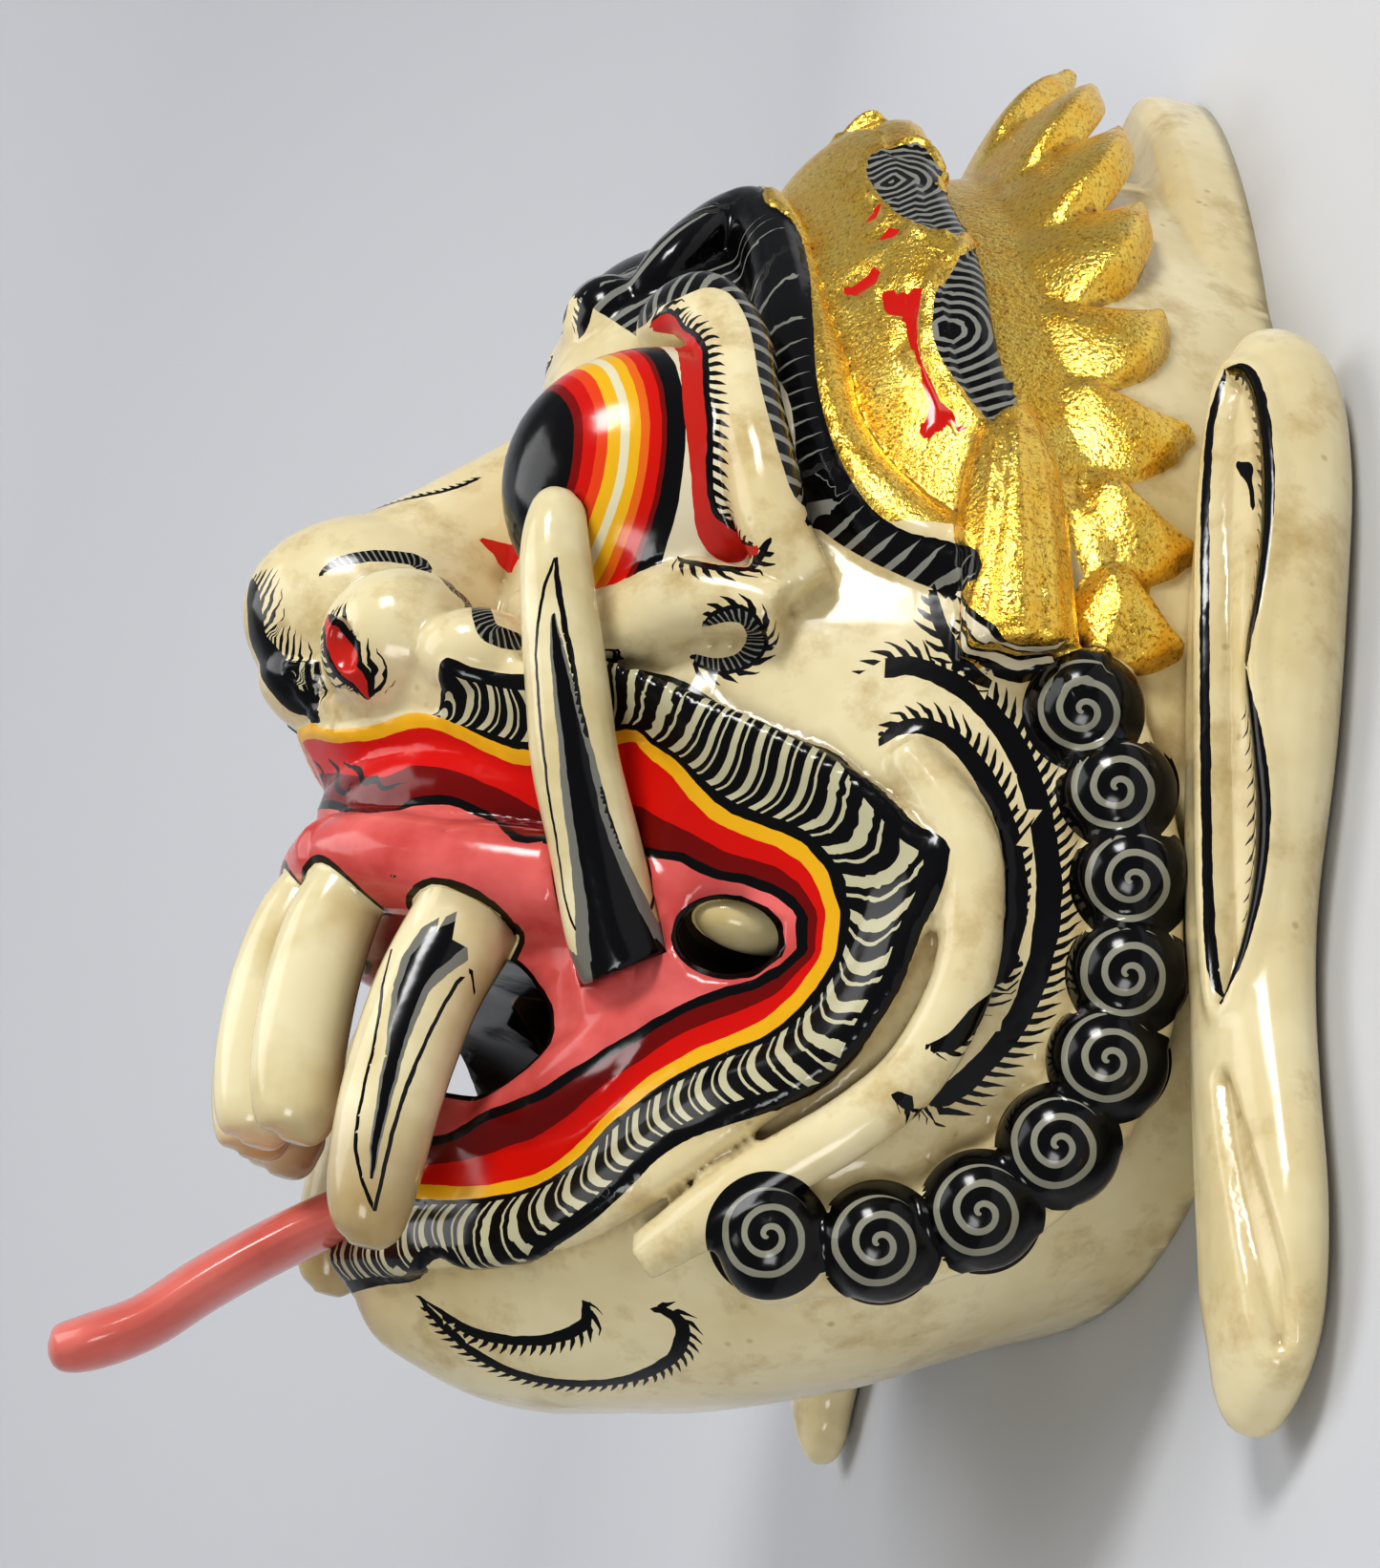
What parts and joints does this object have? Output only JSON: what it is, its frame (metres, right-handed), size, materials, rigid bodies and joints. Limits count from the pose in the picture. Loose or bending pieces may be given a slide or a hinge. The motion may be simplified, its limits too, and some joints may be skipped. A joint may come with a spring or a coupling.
{
  "type": "rangda mask",
  "caption": "Carved and painted wooden rangda mask with a gilded leaf crown, bulging eyes, tusks, fangs, a long curved tongue and hanging ears; hollow behind, lying on its back rim.",
  "frame": {"origin": "centre of the bounding box at the plane of the back rim, which the mask lies on", "axes": "+X to the mask's own left side, +Y up the face to the crown, +Z forward out of the face"},
  "size_m": [0.2514, 0.3121, 0.1728],
  "materials": {
    "lacquered_wood": "glossy cream lacquer paint with black, red and yellow line work, gold leaf on the crown",
    "ivory_lacquer": "glossy ivory lacquer paint with black wedges and outlines",
    "rose_lacquer": "glossy rose lacquer paint"
  },
  "bodies": {
    "root": {"head": "lacquered_wood", "ear_left": "lacquered_wood", "ear_right": "lacquered_wood", "tusk_left": "ivory_lacquer", "tusk_right": "ivory_lacquer", "tongue": "rose_lacquer"}
  },
  "joints": []
}
